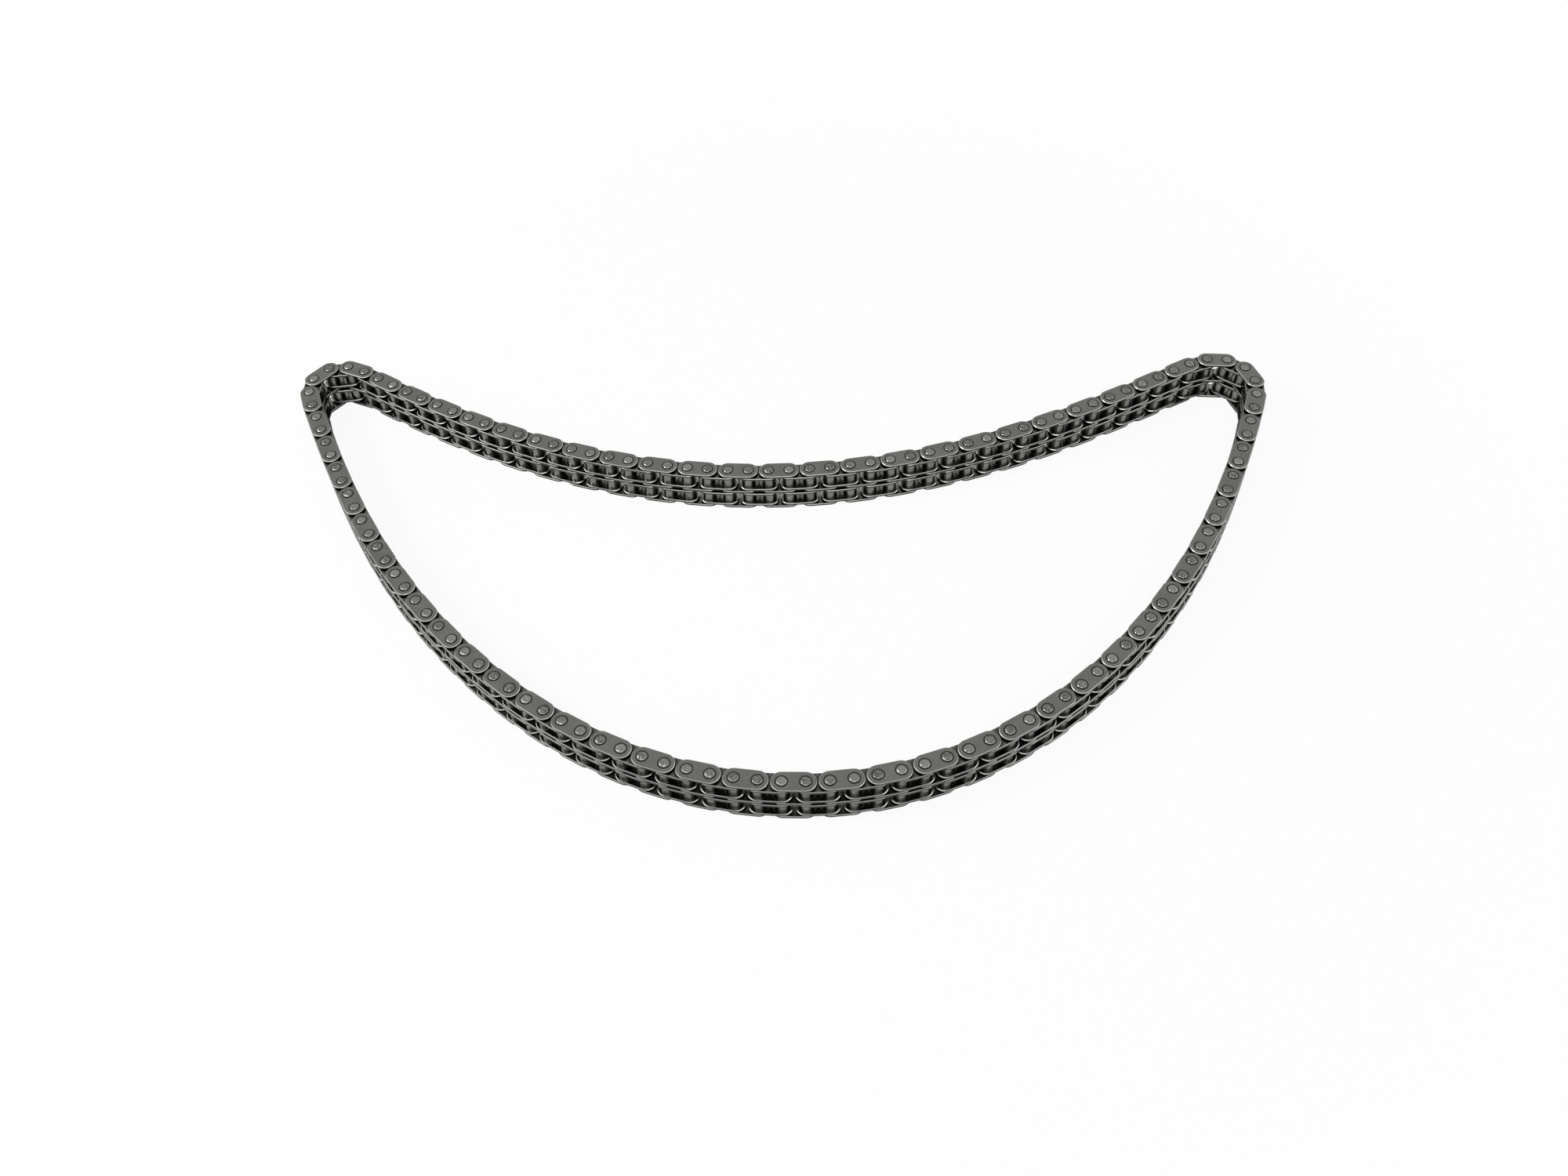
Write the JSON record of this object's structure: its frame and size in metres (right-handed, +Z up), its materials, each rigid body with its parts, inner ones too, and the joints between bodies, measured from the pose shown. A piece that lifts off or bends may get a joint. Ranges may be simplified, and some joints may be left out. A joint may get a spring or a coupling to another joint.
{
  "type": "timing chain",
  "caption": "Endless two-strand bush timing chain lying on its side in a crescent loop, with riveted pins through straight-sided link plates.",
  "frame": {"origin": "middle of the loop's box, on the surface that the lower pin ends stand on", "axes": "+Z up along the pins; +X from the left corner of the crescent to the right one; the belly of the crescent faces -Y"},
  "size_m": [0.4724, 0.25, 0.0227],
  "materials": {
    "outer_plate": "satin gunmetal, tumbled",
    "centre_plate": "satin gunmetal, oiled",
    "inner_plate": "satin gunmetal, oiled",
    "pin": "riveted end, dimpled",
    "bush": "ground steel, oiled"
  },
  "bodies": {
    "back_left_end": {"back_left_end_outer_plates": "outer_plate", "back_left_end_centre_plates": "centre_plate", "back_left_end_inner_plates": "inner_plate", "back_left_end_pins": "pin", "back_left_end_bushes": "bush"},
    "back_left": {"back_left_outer_plates": "outer_plate", "back_left_centre_plates": "centre_plate", "back_left_inner_plates": "inner_plate", "back_left_pins": "pin", "back_left_bushes": "bush"},
    "back_middle": {"back_middle_outer_plates": "outer_plate", "back_middle_centre_plates": "centre_plate", "back_middle_inner_plates": "inner_plate", "back_middle_pins": "pin", "back_middle_bushes": "bush"},
    "back_right": {"back_right_outer_plates": "outer_plate", "back_right_centre_plates": "centre_plate", "back_right_inner_plates": "inner_plate", "back_right_pins": "pin", "back_right_bushes": "bush"},
    "back_right_end": {"back_right_end_outer_plates": "outer_plate", "back_right_end_centre_plates": "centre_plate", "back_right_end_inner_plates": "inner_plate", "back_right_end_pins": "pin", "back_right_end_bushes": "bush"},
    "right_side_rear": {"right_side_rear_outer_plates": "outer_plate", "right_side_rear_centre_plates": "centre_plate", "right_side_rear_inner_plates": "inner_plate", "right_side_rear_pins": "pin", "right_side_rear_bushes": "bush"},
    "right_side_front": {"right_side_front_outer_plates": "outer_plate", "right_side_front_centre_plates": "centre_plate", "right_side_front_inner_plates": "inner_plate", "right_side_front_pins": "pin", "right_side_front_bushes": "bush"},
    "front_right": {"front_right_outer_plates": "outer_plate", "front_right_centre_plates": "centre_plate", "front_right_inner_plates": "inner_plate", "front_right_pins": "pin", "front_right_bushes": "bush"},
    "front_middle": {"front_middle_outer_plates": "outer_plate", "front_middle_centre_plates": "centre_plate", "front_middle_inner_plates": "inner_plate", "front_middle_pins": "pin", "front_middle_bushes": "bush"},
    "front_left": {"front_left_outer_plates": "outer_plate", "front_left_centre_plates": "centre_plate", "front_left_inner_plates": "inner_plate", "front_left_pins": "pin", "front_left_bushes": "bush"},
    "left_side_front": {"left_side_front_outer_plates": "outer_plate", "left_side_front_centre_plates": "centre_plate", "left_side_front_inner_plates": "inner_plate", "left_side_front_pins": "pin", "left_side_front_bushes": "bush"},
    "left_side_rear": {"left_side_rear_outer_plates": "outer_plate", "left_side_rear_centre_plates": "centre_plate", "left_side_rear_inner_plates": "inner_plate", "left_side_rear_pins": "pin", "left_side_rear_bushes": "bush"}
  },
  "joints": [
    {"name": "front_left_hinge", "type": "hinge", "parent": "front_middle", "child": "front_left", "pos_m": [-0.04128, -0.11182, 0.01134], "axis": [0, 0, 1], "range_deg": [-12.6, 12.6]},
    {"name": "left_side_front_hinge", "type": "hinge", "parent": "front_left", "child": "left_side_front", "pos_m": [-0.13618, -0.05004, 0.01134], "axis": [0, 0, 1], "range_deg": [-2.9, 2.9]},
    {"name": "left_side_rear_hinge", "type": "hinge", "parent": "left_side_front", "child": "left_side_rear", "pos_m": [-0.19337, 0.02582, 0.01134], "axis": [0, 0, 1], "range_deg": [-18.7, 18.7]},
    {"name": "left_corner_hinge", "type": "hinge", "parent": "left_side_rear", "child": "back_left_end", "pos_m": [-0.23149, 0.11195, 0.01134], "axis": [0, 0, 1], "range_deg": [-25, 25]},
    {"name": "back_left_hinge", "type": "hinge", "parent": "back_left_end", "child": "back_left", "pos_m": [-0.14934, 0.08354, 0.01134], "axis": [0, 0, 1], "range_deg": [-12.7, 12.7]},
    {"name": "back_middle_hinge", "type": "hinge", "parent": "back_left", "child": "back_middle", "pos_m": [-0.04107, 0.04869, 0.01134], "axis": [0, 0, 1], "range_deg": [-1.4, 1.4]},
    {"name": "front_right_hinge", "type": "hinge", "parent": "front_middle", "child": "front_right", "pos_m": [0.05262, -0.11526, 0.01134], "axis": [0, 0, 1], "range_deg": [-13.7, 13.7]},
    {"name": "right_side_front_hinge", "type": "hinge", "parent": "front_right", "child": "right_side_front", "pos_m": [0.13464, -0.06877, 0.01134], "axis": [0, 0, 1], "range_deg": [-3.8, 3.8]},
    {"name": "right_side_rear_hinge", "type": "hinge", "parent": "right_side_front", "child": "right_side_rear", "pos_m": [0.19257, 0.00638, 0.01134], "axis": [0, 0, 1], "range_deg": [-18.8, 18.8]},
    {"name": "right_corner_hinge", "type": "hinge", "parent": "right_side_rear", "child": "back_right_end", "pos_m": [0.22847, 0.11195, 0.01134], "axis": [0, 0, 1], "range_deg": [-25, 25]},
    {"name": "back_right_hinge", "type": "hinge", "parent": "back_right_end", "child": "back_right", "pos_m": [0.1433, 0.08408, 0.01134], "axis": [0, 0, 1], "range_deg": [-11.1, 11.1]}
  ],
  "couplings": [
    {"joint": "front_left_hinge", "follows": "left_corner_hinge", "ratio": 0.5025},
    {"joint": "left_side_front_hinge", "follows": "left_corner_hinge", "ratio": -0.1148},
    {"joint": "left_side_rear_hinge", "follows": "left_corner_hinge", "ratio": -0.7466},
    {"joint": "back_left_hinge", "follows": "left_corner_hinge", "ratio": -0.5076},
    {"joint": "back_middle_hinge", "follows": "left_corner_hinge", "ratio": -0.053},
    {"joint": "front_right_hinge", "follows": "left_corner_hinge", "ratio": -0.5448},
    {"joint": "right_side_front_hinge", "follows": "left_corner_hinge", "ratio": 0.151},
    {"joint": "right_side_rear_hinge", "follows": "left_corner_hinge", "ratio": 0.7487},
    {"joint": "right_corner_hinge", "follows": "left_corner_hinge", "ratio": -1},
    {"joint": "back_right_hinge", "follows": "left_corner_hinge", "ratio": 0.4401}
  ]
}
